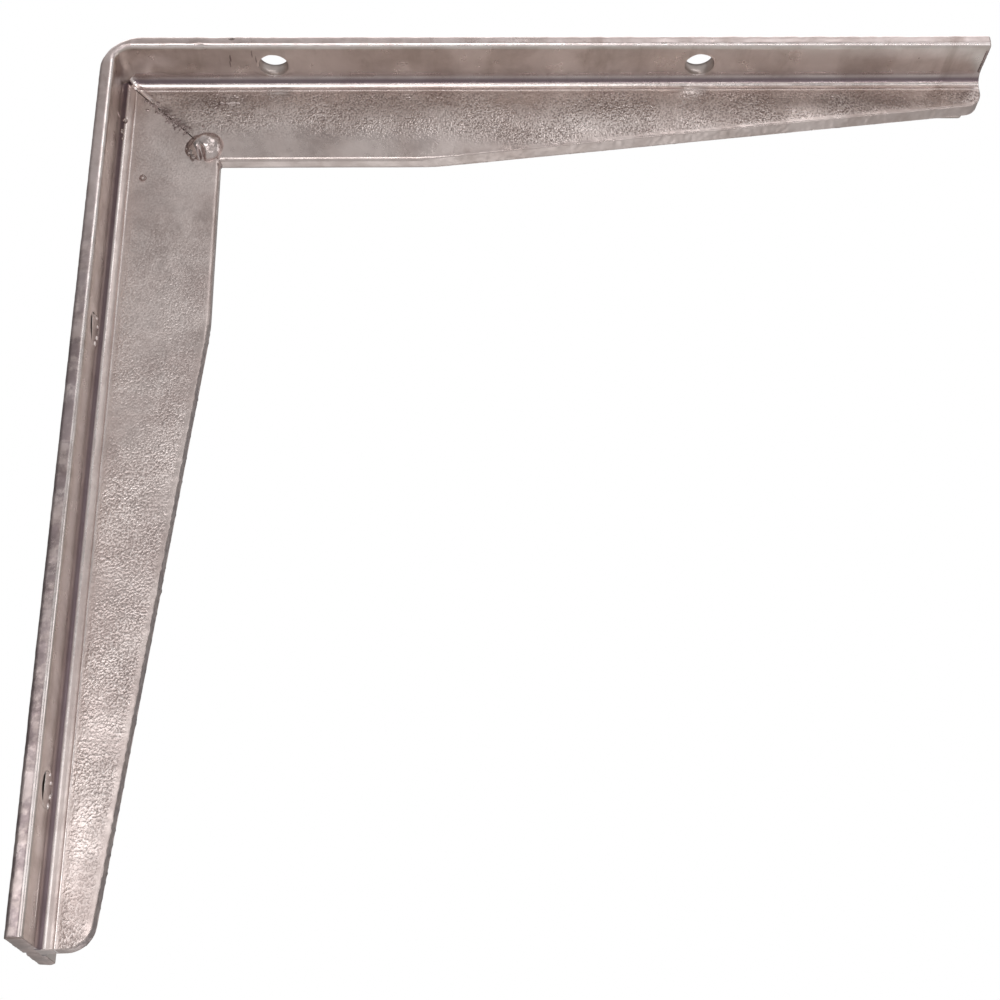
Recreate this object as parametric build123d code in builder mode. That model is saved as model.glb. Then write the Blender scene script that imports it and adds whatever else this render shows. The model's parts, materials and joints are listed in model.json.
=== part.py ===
from build123d import *
import math
import os

# Shelf bracket: one length of rolled T-bar, its web notched in a V at the middle,
# bent to a right angle there and held by a tack weld at the inner end of the notch.
#
# Millimetres. +X runs out from the wall along the shelf arm, +Z is up, and Y is
# across the bar. The origin is on the wall face (x = 0), on the middle plane of
# the web (y = 0), at the middle of the wall arm's holes.

# ---- section of the T-bar ---------------------------------------------------
flange_width = 40.0       # across both halves of the flange
flange_thickness = 5.0
section_height = 40.0     # outer face of the flange to the rolled edge of the web
web_thickness = 5.0
root_radius = 4.0         # fillet between flange and web
flange_toe_radius = 1.8   # rounding of the flange's long inner edges
web_toe_radius = 1.0      # rounding of the web's rolled edge

# ---- arms, each measured from the outer corner ------------------------------
shelf_arm_length = 310.0
wall_arm_length = 305.0
bend_outer_radius = 14.0  # larger than the inner radius and a thickness: drawn thin
bend_inner_radius = 5.0

# ---- sheared taper of each web: heights are measured as section_height is ---
shelf_taper_start = 110.0
shelf_end_height = 16.8
shelf_tip_radius = 6.0
wall_taper_start = 105.0
wall_end_height = 18.5
wall_tip_radius = 7.5

# ---- closed notch and its tack weld -----------------------------------------
mitre_gap = 0.4           # left open between the two cut edges of the web
weld_inset = 6.0          # weld centre back from the inner corner, along X and Z
weld_radius = 6.8         # spread of the nugget over the web
weld_plug_radius = 4.0    # the part of the nugget that fills the notch
weld_front_height = 3.2
weld_rear_height = 2.0

# ---- punched holes, zigzag about the web, alike on both arms ----------------
hole_diameter = 10.5
hole_offset = 10.5        # hole centre to the middle plane of the web
hole_first = 58.0         # outer corner to the first hole of the near row
hole_stagger = 55.0       # how much further out the far row starts
hole_end_margin = 42.0    # last hole to the free end of the shorter arm
holes_per_row = 2

# ---- what follows from the sizes --------------------------------------------
half_width = flange_width / 2
half_web = web_thickness / 2
row_length = min(shelf_arm_length, wall_arm_length) - hole_first - hole_stagger - hole_end_margin
hole_spacing = row_length / (holes_per_row - 1)
shelf_z = hole_first + (hole_stagger + row_length) / 2
mitre_shift = mitre_gap / math.sqrt(2)
weld_centre = section_height - weld_inset

near_row = [hole_first + i * hole_spacing for i in range(holes_per_row)]
far_row = [distance + hole_stagger for distance in near_row]

# Every plane below starts at the outer corner, as if it were not rounded. On the
# side planes x runs along the arm, and on the section planes it runs across the
# bar. On all four -y goes down into the section from its outer face.
corner = (0, 0, shelf_z)
shelf_side = Plane(origin=corner, x_dir=(1, 0, 0), z_dir=(0, -1, 0))
wall_side = Plane(origin=corner, x_dir=(0, 0, -1), z_dir=(0, 1, 0))
shelf_section = Plane(origin=corner, x_dir=(0, 1, 0), z_dir=(1, 0, 0))
wall_section = Plane(origin=corner, x_dir=(0, -1, 0), z_dir=(0, 0, -1))
# On the outer faces x runs along the arm from the corner, and y is the bar's Y.
shelf_face = Plane(origin=corner, x_dir=(1, 0, 0), z_dir=(0, 0, 1))
wall_face = Plane(origin=corner, x_dir=(0, 0, -1), z_dir=(1, 0, 0))


def web_profile():
    """Section of the web and its root fillets, from half-way into the flange."""
    root_half = half_web + root_radius
    root_depth = flange_thickness + root_radius
    with BuildSketch() as profile:
        with BuildLine():
            Polyline(
                (root_half, -flange_thickness),
                (root_half, -flange_thickness / 2),
                (-root_half, -flange_thickness / 2),
                (-root_half, -flange_thickness),
            )
            RadiusArc((-root_half, -flange_thickness), (-half_web, -root_depth), root_radius)
            Polyline(
                (-half_web, -root_depth),
                (-half_web, -section_height),
                (half_web, -section_height),
                (half_web, -root_depth),
            )
            RadiusArc((half_web, -root_depth), (root_half, -flange_thickness), root_radius)
        make_face()
        fillet(profile.vertices().group_by(Axis.Y)[0], web_toe_radius)
    return profile.sketch


def web_outline(length, taper_start, end_height, tip_radius):
    """Side view of one web: mitre, rolled edge, sheared taper and rounded tip."""
    start_depth = flange_thickness / 2
    with BuildSketch() as outline:
        with BuildLine():
            Polyline(
                (start_depth + mitre_shift, -start_depth),
                (section_height + mitre_shift, -section_height),
                (taper_start, -section_height),
                (length, -end_height),
                (length, -start_depth),
                close=True,
            )
        make_face()
        fillet(outline.vertices().sort_by_distance((length, -end_height))[0], tip_radius)
    return outline.sketch


# ---- tack weld: a plug in the notch with a dome on each face of the web -----
with BuildPart() as corner_weld:
    weld_plane = Plane(origin=(weld_centre, 0, shelf_z - weld_centre), z_dir=(0, 0, 1))
    front_cap_radius = (weld_radius**2 + weld_front_height**2) / (2 * weld_front_height)
    rear_cap_radius = (weld_radius**2 + weld_rear_height**2) / (2 * weld_rear_height)
    with BuildSketch(weld_plane) as nugget:
        with BuildLine():
            RadiusArc(
                (0, -half_web - weld_front_height), (weld_radius, -half_web), -front_cap_radius
            )
            Polyline(
                (weld_radius, -half_web),
                (weld_plug_radius, -half_web),
                (weld_plug_radius, half_web),
                (weld_radius, half_web),
            )
            RadiusArc((weld_radius, half_web), (0, half_web + weld_rear_height), -rear_cap_radius)
            Line((0, half_web + weld_rear_height), (0, -half_web - weld_front_height))
        make_face()
    revolve(axis=Axis(weld_plane.origin, (0, 1, 0)))
corner_weld.part.label = "corner_weld"

# ---- the two webs, each cut to its side view --------------------------------
with BuildPart() as shelf_web:
    with BuildSketch(shelf_section):
        add(web_profile())
    extrude(amount=shelf_arm_length)
    with BuildSketch(shelf_side):
        add(web_outline(shelf_arm_length, shelf_taper_start, shelf_end_height, shelf_tip_radius))
    extrude(amount=half_width, both=True, mode=Mode.INTERSECT)

with BuildPart() as wall_web:
    with BuildSketch(wall_section):
        add(web_profile())
    extrude(amount=wall_arm_length)
    with BuildSketch(wall_side):
        add(web_outline(wall_arm_length, wall_taper_start, wall_end_height, wall_tip_radius))
    extrude(amount=half_width, both=True, mode=Mode.INTERSECT)


def is_inner_rim(edge):
    """True for the flange's long inner edges, round the bend too."""
    middle = edge.center()
    at_side = math.isclose(abs(middle.Y), half_width, abs_tol=1e-6)
    along_shelf = math.isclose(middle.Z, shelf_z - flange_thickness, abs_tol=1e-6)
    along_wall = math.isclose(middle.X, flange_thickness, abs_tol=1e-6)
    in_bend = edge.geom_type == GeomType.CIRCLE and math.isclose(
        edge.radius, bend_inner_radius, abs_tol=1e-6
    )
    return at_side and (along_shelf or along_wall or in_bend)


# ---- the bent bar: flange round the bend, both webs, holes, weld pocket -----
with BuildPart() as bent_t_bar:
    with BuildSketch(shelf_side) as flange_side:
        with BuildLine():
            Polyline(
                (0, 0),
                (shelf_arm_length, 0),
                (shelf_arm_length, -flange_thickness),
                (flange_thickness, -flange_thickness),
                (flange_thickness, -wall_arm_length),
                (0, -wall_arm_length),
                close=True,
            )
        make_face()
        inner_corner = (flange_thickness, -flange_thickness)
        fillet(flange_side.vertices().sort_by_distance(inner_corner)[0], bend_inner_radius)
    extrude(amount=half_width, both=True)
    fillet(bent_t_bar.edges().filter_by(is_inner_rim), flange_toe_radius)

    # The webs start inside the flange, so the outer bend is rounded after them.
    add(shelf_web.part)
    add(wall_web.part)
    fillet(bent_t_bar.edges().sort_by_distance(corner)[0], bend_outer_radius)

    # The shelf arm has its near row in front of the web (-Y) and its far row
    # behind it. The wall arm has them the other way round. A punch goes on past
    # the flange, because it takes the edge of the root fillet with it.
    for outer_face, near_side in ((shelf_face, -1), (wall_face, 1)):
        with BuildSketch(outer_face):
            with Locations([(distance, near_side * hole_offset) for distance in near_row]):
                Circle(hole_diameter / 2)
            with Locations([(distance, -near_side * hole_offset) for distance in far_row]):
                Circle(hole_diameter / 2)
        extrude(amount=flange_thickness + root_radius, both=True, mode=Mode.SUBTRACT)

    with BuildSketch(shelf_side):
        with Locations((weld_centre, -weld_centre)):
            Circle(weld_plug_radius)
    extrude(amount=half_web, both=True, mode=Mode.SUBTRACT)
bent_t_bar.part.label = "bent_t_bar"

os.makedirs("parts", exist_ok=True)
export_step(bent_t_bar.part, "parts/bent_t_bar.step")
export_step(corner_weld.part, "parts/corner_weld.step")
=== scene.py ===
"""Looks of a galvanised shelf bracket: one T-bar, notched, bent square, welded and dipped in zinc.

Metres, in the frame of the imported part: +X out from the wall along the shelf arm, +Z up, and Y
across the bar. Each arm's web is made in arm coordinates, x along the arm from the outer corner,
y across it and z = -depth below the flange's outer face, and is put in its place at the end.
"""

import json
import logging
import math
import random
from collections.abc import Callable, Iterable
from dataclasses import dataclass, field
from enum import Enum

import bmesh
import bpy
from bmesh.types import BMEdge, BMesh, BMFace, BMVert
from mathutils import Matrix, Vector, noise

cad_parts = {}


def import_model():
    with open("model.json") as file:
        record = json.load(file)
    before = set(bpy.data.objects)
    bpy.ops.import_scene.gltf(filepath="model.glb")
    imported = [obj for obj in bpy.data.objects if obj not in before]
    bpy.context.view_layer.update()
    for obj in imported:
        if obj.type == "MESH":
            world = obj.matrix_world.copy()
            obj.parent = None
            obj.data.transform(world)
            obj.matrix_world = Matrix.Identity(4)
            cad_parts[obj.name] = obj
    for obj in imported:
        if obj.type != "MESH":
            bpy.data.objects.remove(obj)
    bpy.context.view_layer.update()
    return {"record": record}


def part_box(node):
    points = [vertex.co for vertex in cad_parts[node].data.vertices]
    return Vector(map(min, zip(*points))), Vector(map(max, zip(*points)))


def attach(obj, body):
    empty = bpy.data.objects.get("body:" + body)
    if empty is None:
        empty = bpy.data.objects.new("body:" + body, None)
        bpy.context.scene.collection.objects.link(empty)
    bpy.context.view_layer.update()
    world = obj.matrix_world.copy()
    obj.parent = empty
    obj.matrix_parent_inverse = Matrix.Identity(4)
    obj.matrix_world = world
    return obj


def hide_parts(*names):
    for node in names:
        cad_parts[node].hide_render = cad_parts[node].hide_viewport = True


LOG = logging.getLogger("shelf_bracket")
MM = 0.001
SEED = 20
FRONT_HOLES_BELOW = (113 * MM, 263 * MM)
LIP_LUMPS = ((-4.0, -7.6, 0.8), (-1.0, -6.2, 0.7), (2.8, -6.8, 0.6), (4.7, -8.8, 0.5))
# Distance across the bar over which the painted root shade ramps.
ROOT_SHADE_REACH = 20 * MM
RIDGE_BELOW_ROOT = 0.42 * MM

Colour = tuple[float, float, float]
Place = tuple[float, float, float]
Height = Callable[[Vector, Vector], float]


class Arm(Enum):
    """The two arms of the bracket, each with its place in the row frame."""

    SHELF = "shelf"
    WALL = "wall"

    def place(self, corner_height: float) -> Matrix:
        """Gives the matrix from arm coordinates to the row frame.

        Args:
            corner_height: Z of the shelf face, where the outer corner is.

        Returns:
            The matrix. The wall arm's turns the solid inside out.
        """
        lift = Matrix.Translation((0, 0, corner_height))
        if self is Arm.SHELF:
            return lift
        turn = Matrix(((0, 0, -1, 0), (0, 1, 0, 0), (-1, 0, 0, 0), (0, 0, 0, 1)))
        return lift @ turn


class Paint(Enum):
    """Which finish a face of the bar takes."""

    FLAT = 0
    EDGE = 1
    OUTER = 2
    # Painted highlight: pale lines on the toes, the root fillets, the ridge below the root and
    # beside the mitre.
    PAINTED_HIGHLIGHT = 3
    CUT = 4


# ---- small sums ----------------------------------------------------------------------------


def ease(value: float, low: float, high: float) -> float:
    """Gives 0 below low, 1 above high and a smooth step between them."""
    part = min(max((value - low) / (high - low), 0.0), 1.0)
    return part * part * (3 - 2 * part)


def bell(value: float, middle: float, width: float) -> float:
    """Gives 1 at the middle, falling to a third one width away."""
    return math.exp(-(((value - middle) / width) ** 2))


def ripple(spot: Vector, size: float, seed: float = 0.0) -> float:
    """Gives smooth noise from -1 to 1.

    Args:
        spot: The place, in metres.
        size: Length of one bump and one hollow, in metres.
        seed: Shifts the pattern.

    Returns:
        The noise at the spot.
    """
    return noise.noise(spot * (2.0 / size) + Vector((seed, -seed * 0.7, seed * 0.3)))


# ---- mesh tools ----------------------------------------------------------------------------


def cut_away(bm: BMesh, point: Vector, normal: Vector) -> None:
    """Cuts a closed solid by a plane, drops what the normal points at, and closes the cut.

    Args:
        bm: The solid.
        point: A point of the plane.
        normal: The plane's normal, towards the waste.
    """
    cut = bmesh.ops.bisect_plane(
        bm,
        geom=[*bm.verts, *bm.edges, *bm.faces],
        dist=1e-7,
        plane_co=point,
        plane_no=normal,
        clear_outer=True,
    )
    rim = [part for part in cut["geom_cut"] if isinstance(part, BMEdge)]
    bmesh.ops.edgenet_fill(bm, edges=rim)


def dice(bm: BMesh, faces: list[BMFace], normal: Vector, levels: list[float]) -> None:
    """Cuts faces by many parallel planes, the middle plane first.

    Args:
        bm: The mesh.
        faces: The faces to cut.
        normal: Unit normal of the planes.
        levels: Rising distances of the planes from the origin.
    """
    if not levels or not faces:
        return
    middle = len(levels) // 2
    level = levels[middle]
    edges = {edge for face in faces for edge in face.edges}
    verts = {vert for edge in edges for vert in edge.verts}
    cut = bmesh.ops.bisect_plane(
        bm,
        geom=[*verts, *edges, *faces],
        dist=2e-6,
        plane_co=normal * level,
        plane_no=normal,
    )
    below, above = [], []
    for part in cut["geom"]:
        if isinstance(part, BMFace):
            side = part.calc_center_median().dot(normal) < level
            (below if side else above).append(part)
    dice(bm, below, normal, levels[:middle])
    dice(bm, above, normal, levels[middle + 1 :])


def steps(start: float, end: float, pitch: float) -> list[float]:
    """Gives evenly spaced levels strictly between start and end, about a pitch apart."""
    count = max(1, round((end - start) / pitch))
    return [start + (end - start) * i / count for i in range(1, count)]


def sharp_edges(bm: BMesh, angle: float = math.radians(35)) -> list[BMEdge]:
    """Gives the edges where two faces meet at more than an angle."""
    return [
        edge for edge in bm.edges if len(edge.link_faces) == 2 and edge.calc_face_angle(0) > angle
    ]


def round_edges(bm: BMesh, edges: Iterable[BMEdge], radius: float, segments: int) -> None:
    """Rounds edges with arcs.

    Args:
        bm: The mesh.
        edges: The edges to round.
        radius: How far back each arc starts.
        segments: Facets of each arc.
    """
    bmesh.ops.bevel(
        bm,
        geom=list(edges),
        offset=radius,
        offset_type="OFFSET",
        segments=segments,
        profile=0.5,
        affect="EDGES",
        clamp_overlap=True,
        material=-1,
    )


def round_corners(bm: BMesh, verts: Iterable[BMVert], radius: float, segments: int) -> None:
    """Rounds corners of a flat face with arcs, in the way of round_edges."""
    bmesh.ops.bevel(
        bm,
        geom=list(verts),
        offset=radius,
        segments=segments,
        profile=0.5,
        affect="VERTICES",
        material=-1,
    )


def extrude_all(bm: BMesh, path: Vector) -> None:
    """Draws a mesh's only face out along a path, into a solid that points outwards."""
    drawn = bmesh.ops.extrude_face_region(bm, geom=[next(iter(bm.faces))])
    moved = [part for part in drawn["geom"] if isinstance(part, BMVert)]
    bmesh.ops.translate(bm, verts=moved, vec=path)
    bmesh.ops.recalc_face_normals(bm, faces=bm.faces)


def push(bm: BMesh, height: Height) -> None:
    """Moves each vertex along its own normal.

    Args:
        bm: The mesh.
        height: Gives the move from a vertex's place and normal.
    """
    bm.normal_update()
    moves = [(vert, vert.normal * height(vert.co, vert.normal)) for vert in bm.verts]
    for vert, move in moves:
        vert.co += move


def keep_inside(bm: BMesh, low: Vector, high: Vector) -> None:
    """Moves any vertex outside a box onto it."""
    for vert in bm.verts:
        for axis in range(3):
            vert.co[axis] = min(max(vert.co[axis], low[axis]), high[axis])


def to_object(bm: BMesh, name: str, materials: Iterable[bpy.types.Material]) -> bpy.types.Object:
    """Makes a smooth-shaded object at the origin from a mesh, and frees the mesh.

    Args:
        bm: The mesh, in the row frame.
        name: Name of the piece.
        materials: Its materials, in the order of its faces' indices.

    Returns:
        The object, linked to the scene.
    """
    mesh = bpy.data.meshes.new(name)
    for face in bm.faces:
        face.smooth = True
    bm.to_mesh(mesh)
    bm.free()
    for material in materials:
        mesh.materials.append(material)
    piece = bpy.data.objects.new(name, mesh)
    bpy.context.scene.collection.objects.link(piece)
    return piece


# ---- finishes ------------------------------------------------------------------------------


class Shader:
    """A small builder of node materials that read Object coordinates."""

    def __init__(self, name: str) -> None:
        """Starts an empty material of that name."""
        self.material = bpy.data.materials.new(name)
        self.material.use_nodes = True
        self.tree = self.material.node_tree
        self.tree.nodes.clear()
        self.place = self.tree.nodes.new("ShaderNodeTexCoord").outputs["Object"]

    def link(self, value: object, socket: bpy.types.NodeSocket) -> None:
        """Links an output to a socket, or sets the socket to a constant."""
        if isinstance(value, bpy.types.NodeSocket):
            self.tree.links.new(value, socket)
        else:
            socket.default_value = value

    def stretched(self, scale: Place) -> bpy.types.NodeSocket:
        """Gives Object coordinates scaled along each axis."""
        node = self.tree.nodes.new("ShaderNodeMapping")
        node.inputs["Scale"].default_value = scale
        self.link(self.place, node.inputs["Vector"])
        return node.outputs["Vector"]

    def noise(
        self,
        size: float,
        detail: float = 2.0,
        stretch: Place = (1.0, 1.0, 1.0),
        rough: float = 0.5,
        warp: float = 0.0,
    ) -> bpy.types.NodeSocket:
        """Gives noise from 0 to 1.

        Args:
            size: Length of its features, in metres.
            detail: Octaves.
            stretch: Scale along each axis; below 1 draws the pattern out.
            rough: Strength of the finer octaves.
            warp: Distortion.

        Returns:
            The noise's factor.
        """
        node = self.tree.nodes.new("ShaderNodeTexNoise")
        node.inputs["Scale"].default_value = 1.0 / size
        node.inputs["Detail"].default_value = detail
        node.inputs["Roughness"].default_value = rough
        node.inputs["Distortion"].default_value = warp
        self.link(self.stretched(stretch), node.inputs["Vector"])
        return node.outputs["Fac"]

    def span(
        self, value: object, low: float, high: float, out_low: float = 0.0, out_high: float = 1.0
    ) -> bpy.types.NodeSocket:
        """Maps a value smoothly from one range onto another."""
        node = self.tree.nodes.new("ShaderNodeMapRange")
        node.interpolation_type = "SMOOTHSTEP"
        self.link(value, node.inputs["Value"])
        for name, number in (
            ("From Min", low),
            ("From Max", high),
            ("To Min", out_low),
            ("To Max", out_high),
        ):
            node.inputs[name].default_value = number
        return node.outputs["Result"]

    def sum(self, kind: str, first: object, second: object = 0.0) -> bpy.types.NodeSocket:
        """Gives a math node's result."""
        node = self.tree.nodes.new("ShaderNodeMath")
        node.operation = kind
        self.link(first, node.inputs[0])
        self.link(second, node.inputs[1])
        return node.outputs["Value"]

    def blend(
        self, part: object, first: object, second: object, kind: str = "MIX"
    ) -> bpy.types.NodeSocket:
        """Mixes two colours."""
        node = self.tree.nodes.new("ShaderNodeMix")
        node.data_type = "RGBA"
        node.blend_type = kind
        self.link(part, node.inputs["Factor"])
        for value, name in ((first, "A"), (second, "B")):
            socket = next(s for s in node.inputs if s.name == name and s.type == "RGBA")
            if isinstance(value, tuple):
                socket.default_value = (*value, 1.0)
            else:
                self.link(value, socket)
        return next(s for s in node.outputs if s.type == "RGBA")

    def axis(self, name: str) -> bpy.types.NodeSocket:
        """Gives one Object coordinate: X, Y or Z."""
        node = self.tree.nodes.new("ShaderNodeSeparateXYZ")
        self.link(self.place, node.inputs["Vector"])
        return node.outputs[name]

    def attribute(self, name: str) -> bpy.types.NodeSocket:
        """Gives a number that the mesh carries at each vertex."""
        node = self.tree.nodes.new("ShaderNodeAttribute")
        node.attribute_name = name
        return node.outputs["Fac"]

    def nearness(self, smear: "Smear") -> bpy.types.NodeSocket:
        """Gives the strength of a smear: full at its middle, none outside it."""
        shift = self.tree.nodes.new("ShaderNodeVectorMath")
        shift.operation = "SUBTRACT"
        self.link(self.place, shift.inputs[0])
        shift.inputs[1].default_value = smear.middle
        scale = self.tree.nodes.new("ShaderNodeVectorMath")
        scale.operation = "DIVIDE"
        self.link(shift.outputs["Vector"], scale.inputs[0])
        scale.inputs[1].default_value = smear.half_sizes
        length = self.tree.nodes.new("ShaderNodeVectorMath")
        length.operation = "LENGTH"
        self.link(scale.outputs["Vector"], length.inputs[0])
        ragged = self.sum("ADD", length.outputs["Value"], self.noise(7 * MM, 3.0))
        return self.span(ragged, 0.7, 1.5, smear.share, 0.0)

    def bump(self, height: object, depth: float, under: object = None) -> bpy.types.NodeSocket:
        """Gives a normal with relief of a depth in metres, on top of another bump."""
        node = self.tree.nodes.new("ShaderNodeBump")
        node.inputs["Strength"].default_value = 1.0
        node.inputs["Distance"].default_value = depth
        self.link(height, node.inputs["Height"])
        if under is not None:
            self.link(under, node.inputs["Normal"])
        return node.outputs["Normal"]

    def finish(
        self,
        colour: object,
        roughness: object,
        normal: object = None,
        metallic: float = 1.0,
    ) -> bpy.types.Material:
        """Closes the material with a Principled shader.

        Args:
            colour: Base colour.
            roughness: Roughness.
            normal: Bumped normal, if any.
            metallic: How metallic it is.

        Returns:
            The material.
        """
        shader = self.tree.nodes.new("ShaderNodeBsdfPrincipled")
        output = self.tree.nodes.new("ShaderNodeOutputMaterial")
        if isinstance(colour, tuple):
            shader.inputs["Base Color"].default_value = (*colour, 1.0)
        else:
            self.link(colour, shader.inputs["Base Color"])
        self.link(roughness, shader.inputs["Roughness"])
        shader.inputs["Metallic"].default_value = metallic
        if normal is not None:
            self.link(normal, shader.inputs["Normal"])
        self.tree.links.new(shader.outputs["BSDF"], output.inputs["Surface"])
        return self.material


@dataclass(frozen=True)
class Smear:
    """A soft patch of paler or darker zinc at one place."""

    middle: Place
    half_sizes: Place
    share: float
    colour: Colour


@dataclass(frozen=True)
class ZincFinish:
    """Hot-dip zinc with cloudy patches, a fine mottle, stains and a grain; where set, also painted
    shade at the root fillets, darkening low on the bar, and painted shade in pebble hollows with
    painted highlights on their crests.
    """

    name: str
    pale: Colour
    dull: Colour
    stain: Colour
    stain_share: float
    roughness: tuple[float, float]
    grain_size: float
    grain_depth: float
    cloud_size: float = 22 * MM
    streaks: float = 0.0
    # Painted shade at the root: distances from the web's middle plane, each with its share of the
    # dark colour.
    root_shade_bands: tuple[tuple[float, float], ...] = ()
    low_tint: float = 0.0
    smears: tuple[Smear, ...] = ()
    pebble_depth: float = 0.0
    # Share of painted shade in the pebbles' hollows.
    hollow_shade_share: float = 0.0

    def make(self) -> bpy.types.Material:
        """Builds the node material."""
        shader = Shader(self.name)
        clouds = shader.noise(self.cloud_size, 4.0, rough=0.6, warp=0.4)
        colour = shader.blend(shader.span(clouds, 0.36, 0.64), self.dull, self.pale)
        mottle = shader.noise(2.6 * MM, 3.0, rough=0.65)
        colour = shader.blend(shader.span(mottle, 0.3, 0.72, 0.0, 0.30), colour, self.pale)
        stains = shader.noise(34 * MM, 5.0, (1.0, 0.6, 1.0), 0.62, 1.2)
        colour = shader.blend(
            shader.span(stains, 0.52, 0.70, 0.0, self.stain_share), colour, self.stain
        )
        if self.streaks:
            runs = shader.noise(6.5 * MM, 4.0, (1.0, 0.12, 1.0), 0.65)
            colour = shader.blend(
                shader.span(runs, 0.50, 0.70, 0.0, self.streaks), colour, self.stain
            )
        for smear in self.smears:
            colour = shader.blend(shader.nearness(smear), colour, smear.colour)
        # Painted shade: darker in the root fillets and on the flange beside them, by distance from
        # the web's middle plane.
        if self.root_shade_bands:
            colour = shader.blend(self.root_shade(shader), colour, ROOT_SHADE_AND_LOW_DARK)
        # Darker low on the bar: full below z 0.03 m, none above 0.12 m, in patches.
        if self.low_tint:
            low = shader.span(shader.axis("Z"), 0.03, 0.12, self.low_tint, 0.0)
            spots = shader.span(shader.noise(8 * MM, 4.0, rough=0.7), 0.42, 0.58, 0.15, 1.0)
            colour = shader.blend(shader.sum("MULTIPLY", low, spots), colour, ROOT_SHADE_AND_LOW_DARK)
        wear = shader.noise(7 * MM, 4.0, rough=0.6)
        roughness = shader.span(wear, 0.3, 0.7, *self.roughness)
        normal = shader.bump(shader.noise(self.grain_size * 3, 2.0), self.grain_depth * 2)
        grain = shader.noise(self.grain_size, 3.0, rough=0.55)
        normal = shader.bump(grain, self.grain_depth, normal)
        if self.pebble_depth:
            # Painted shade in the pebbles' hollows and a painted highlight on their crests, on top
            # of the bump.
            pebbled = shader.attribute(PEBBLED)
            grit = shader.noise(0.66 * MM, 1.0, (1.0, 1.0, 0.85))
            hollow = shader.span(grit, 0.36, 0.52, self.hollow_shade_share, 0.0)
            colour = shader.blend(shader.sum("MULTIPLY", hollow, pebbled), colour, HOLLOW_SHADE_AND_DARK_ZINC)
            crest_highlight = shader.span(grit, 0.54, 0.66, 0.0, 0.45)
            colour = shader.blend(shader.sum("MULTIPLY", crest_highlight, pebbled), colour, PALE_AND_HIGHLIGHT)
            height = shader.sum("MULTIPLY", grit, pebbled)
            normal = shader.bump(height, self.pebble_depth, normal)
        return shader.finish(colour, roughness, normal)

    def root_shade(self, shader: Shader) -> bpy.types.NodeSocket:
        """Gives the share of painted shade by distance from the web's middle plane, darkest in the
        root.

        Args:
            shader: The material being built.

        Returns:
            The share, as a ramp through the bands' distances.
        """
        ramp = shader.tree.nodes.new("ShaderNodeValToRGB")
        stops = ramp.color_ramp.elements
        while len(stops) < len(self.root_shade_bands):
            stops.new(0.5)
        for stop, (distance, share) in zip(stops, self.root_shade_bands):
            stop.position = distance / ROOT_SHADE_REACH
            stop.color = (share, share, share, 1.0)
        across = shader.sum("ABSOLUTE", shader.axis("Y"))
        shader.link(shader.sum("DIVIDE", across, ROOT_SHADE_REACH), ramp.inputs["Fac"])
        return ramp.outputs["Color"]


# Dark colour for the painted shade in the root and for the darkening low on the bar.
ROOT_SHADE_AND_LOW_DARK: Colour = (0.13, 0.085, 0.11)
# Pale zinc for smears, and the painted highlight on pebble crests.
PALE_AND_HIGHLIGHT: Colour = (0.93, 0.86, 0.84)
# Dark zinc for smears, and the painted shade in pebble hollows.
HOLLOW_SHADE_AND_DARK_ZINC: Colour = (0.22, 0.17, 0.16)
PEBBLED = "pebbled"

SHELF_WEB_ZINC = ZincFinish(
    "shelf_web_zinc",
    pale=(0.78, 0.68, 0.65),
    dull=(0.60, 0.50, 0.47),
    stain=(0.36, 0.28, 0.25),
    stain_share=0.45,
    roughness=(0.20, 0.36),
    grain_size=0.9 * MM,
    grain_depth=0.03 * MM,
    root_shade_bands=(
        (2.60 * MM, 0.0),
        (2.72 * MM, 0.26),
        (2.96 * MM, 0.26),
        (3.02 * MM, 0.0),
        (3.10 * MM, 0.0),
        (3.20 * MM, 0.85),
        (3.9 * MM, 0.80),
        (4.7 * MM, 0.30),
        (6.6 * MM, 0.16),
    ),
    pebble_depth=0.34 * MM,
    hollow_shade_share=0.75,
    smears=(
        Smear((0.0200, -0.0025, 0.1415), (0.0045, 0.004, 0.0045), 0.75, HOLLOW_SHADE_AND_DARK_ZINC),
        Smear((0.0255, -0.0025, 0.1360), (0.0045, 0.004, 0.0045), 0.75, HOLLOW_SHADE_AND_DARK_ZINC),
        Smear((0.0380, -0.0025, 0.1460), (0.0200, 0.004, 0.0055), 0.40, HOLLOW_SHADE_AND_DARK_ZINC),
        Smear((0.2600, -0.0025, 0.1460), (0.0500, 0.004, 0.0060), 0.40, HOLLOW_SHADE_AND_DARK_ZINC),
        Smear((0.1750, -0.0025, 0.1360), (0.0300, 0.004, 0.0060), 0.25, PALE_AND_HIGHLIGHT),
    ),
)
WALL_WEB_ZINC = ZincFinish(
    "wall_web_zinc",
    pale=(0.78, 0.68, 0.65),
    dull=(0.60, 0.50, 0.475),
    stain=(0.36, 0.28, 0.25),
    stain_share=0.30,
    roughness=(0.30, 0.44),
    grain_size=0.9 * MM,
    grain_depth=0.03 * MM,
    root_shade_bands=(
        (3.3 * MM, 0.0),
        (3.6 * MM, 0.85),
        (4.6 * MM, 0.78),
        (5.4 * MM, 0.35),
        (6.6 * MM, 0.22),
    ),
    pebble_depth=0.26 * MM,
    hollow_shade_share=0.42,
)
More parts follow.
